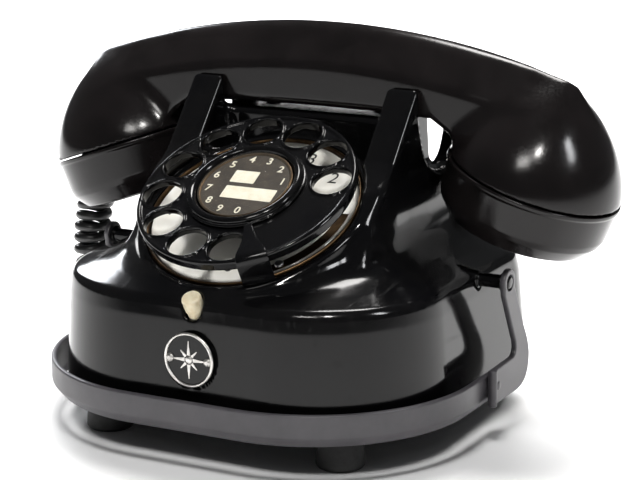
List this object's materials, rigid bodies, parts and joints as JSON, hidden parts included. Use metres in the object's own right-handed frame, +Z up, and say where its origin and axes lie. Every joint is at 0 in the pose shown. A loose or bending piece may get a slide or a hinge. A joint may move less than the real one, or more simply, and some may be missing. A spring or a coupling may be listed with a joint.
{
  "type": "rotary dial table telephone",
  "caption": "Table telephone with a rotary dial, a forked cradle, a cupped handset on a curly cord, a front push button and a swing-up carrying handle.",
  "frame": {"origin": "centre of the telephone's footprint, on the table that the feet stand on", "axes": "+X to the right as the caller sees it, along the handset; +Y to the rear; +Z up; the dial faces -Y and up"},
  "size_m": [0.2283, 0.1657, 0.13],
  "materials": {
    "enamel": "gloss black enamelled case, worn and faintly scratched",
    "bakelite": "moulded black Bakelite, softly glossy with light wear",
    "satin": "dark satin grey sheet metal, handled and dulled",
    "ivory": "cream button, slightly yellowed",
    "white": null,
    "card": "aged dark paper card with blank labels",
    "clear": "clear glazing over the card",
    "brass": "dulled brass",
    "steel": "plain steel, slightly dulled",
    "silver": "worn bright plating",
    "rubber": "black rubber",
    "copper": "varnished copper windings on iron",
    "cloth": "black sheathed curly cord"
  },
  "bodies": {
    "body": {"housing": "enamel", "base_pan": "enamel", "finger_stop": "enamel", "handle_pivot_left": "enamel", "handle_pivot_right": "enamel", "terminal_block": "bakelite", "number_plate": "white", "dial_rim": "brass", "pulse_contacts": "brass", "button_contact": "brass", "switch_springs": "brass", "dial_case": "steel", "finger_stop_screw": "steel", "switch_bracket": "steel", "condenser": "steel", "gong_left": "steel", "gong_right": "steel", "gong_pillar_left": "steel", "gong_pillar_right": "steel", "foot_screw_front_left": "steel", "foot_screw_front_right": "steel", "foot_screw_rear_left": "steel", "foot_screw_rear_right": "steel", "badge": "silver", "badge_rivet_left": "silver", "badge_rivet_right": "silver", "cord_gland": "rubber", "line_cord_bush": "rubber", "foot_front_left": "rubber", "foot_front_right": "rubber", "foot_rear_left": "rubber", "foot_rear_right": "rubber", "ringer_coils": "copper", "induction_coil": "copper", "handset_cord": "cloth"},
    "handset": {"handset_shell": "bakelite", "mouthpiece_cap": "bakelite", "earpiece_cap": "bakelite", "mouthpiece_capsule": "steel", "earpiece_capsule": "steel", "handset_grommet": "rubber"},
    "dial_wheel": {"finger_wheel": "enamel", "dial_hub": "enamel", "number_card": "card", "card_window": "clear", "dial_shaft": "steel", "main_gear": "brass", "mainspring_drum": "steel"},
    "governor_spindle": {"governor": "brass"},
    "cradle_hook": {"cradle_plunger_left": "bakelite", "cradle_plunger_right": "bakelite", "cradle_crossbar": "steel"},
    "hook_lever": {"switch_lever": "steel"},
    "front_button": {"push_button": "ivory"},
    "carrying_handle": {"handle_strap": "satin", "handle_arm_left": "satin", "handle_arm_right": "satin", "handle_rivet_left": "satin", "handle_rivet_right": "satin"},
    "ringer_clapper": {"clapper": "brass"}
  },
  "joints": [
    {"name": "handset_lift", "type": "slide", "parent": "body", "child": "handset", "axis": [0, 0, 1], "range_m": [0, 0.12]},
    {"name": "dial_turn", "type": "hinge", "parent": "body", "child": "dial_wheel", "pos_m": [0, -0.0229, 0.0823], "axis": [0, 0.4848, -0.8746], "range_deg": [0, 318], "stiffness_Nm_per_rad": 0.02, "springref_deg": -28.65},
    {"name": "governor_spin", "type": "hinge", "parent": "body", "child": "governor_spindle", "pos_m": [0.0221, -0.01466, 0.06743], "axis": [0, 0.4848, -0.8746], "range_deg": [-1130, 0]},
    {"name": "hook_rise", "type": "slide", "parent": "body", "child": "cradle_hook", "axis": [0, 0, 1], "range_m": [0, 0.004]},
    {"name": "hook_lever_turn", "type": "hinge", "parent": "body", "child": "hook_lever", "pos_m": [0, 0.046, 0.0634], "axis": [-1, 0, 0], "range_deg": [0, 16]},
    {"name": "button_push", "type": "slide", "parent": "body", "child": "front_button", "axis": [0, 0.5, -0.866], "range_m": [0, 0.003], "stiffness_N_per_m": 200, "springref_m": -0.001},
    {"name": "handle_swing", "type": "hinge", "parent": "body", "child": "carrying_handle", "pos_m": [0, 0.0131, 0.051], "axis": [-1, 0, 0], "range_deg": [0, 92]},
    {"name": "clapper_swing", "type": "hinge", "parent": "body", "child": "ringer_clapper", "pos_m": [0, 0.0195, 0.022], "axis": [0, 0, 1], "range_deg": [-8, 8]}
  ],
  "couplings": [
    {"joint": "governor_spin", "follows": "dial_turn", "ratio": -3.54},
    {"joint": "hook_rise", "follows": "handset_lift", "ratio": 0.0333},
    {"joint": "hook_lever_turn", "follows": "handset_lift", "rad_per_m": 2.3}
  ]
}
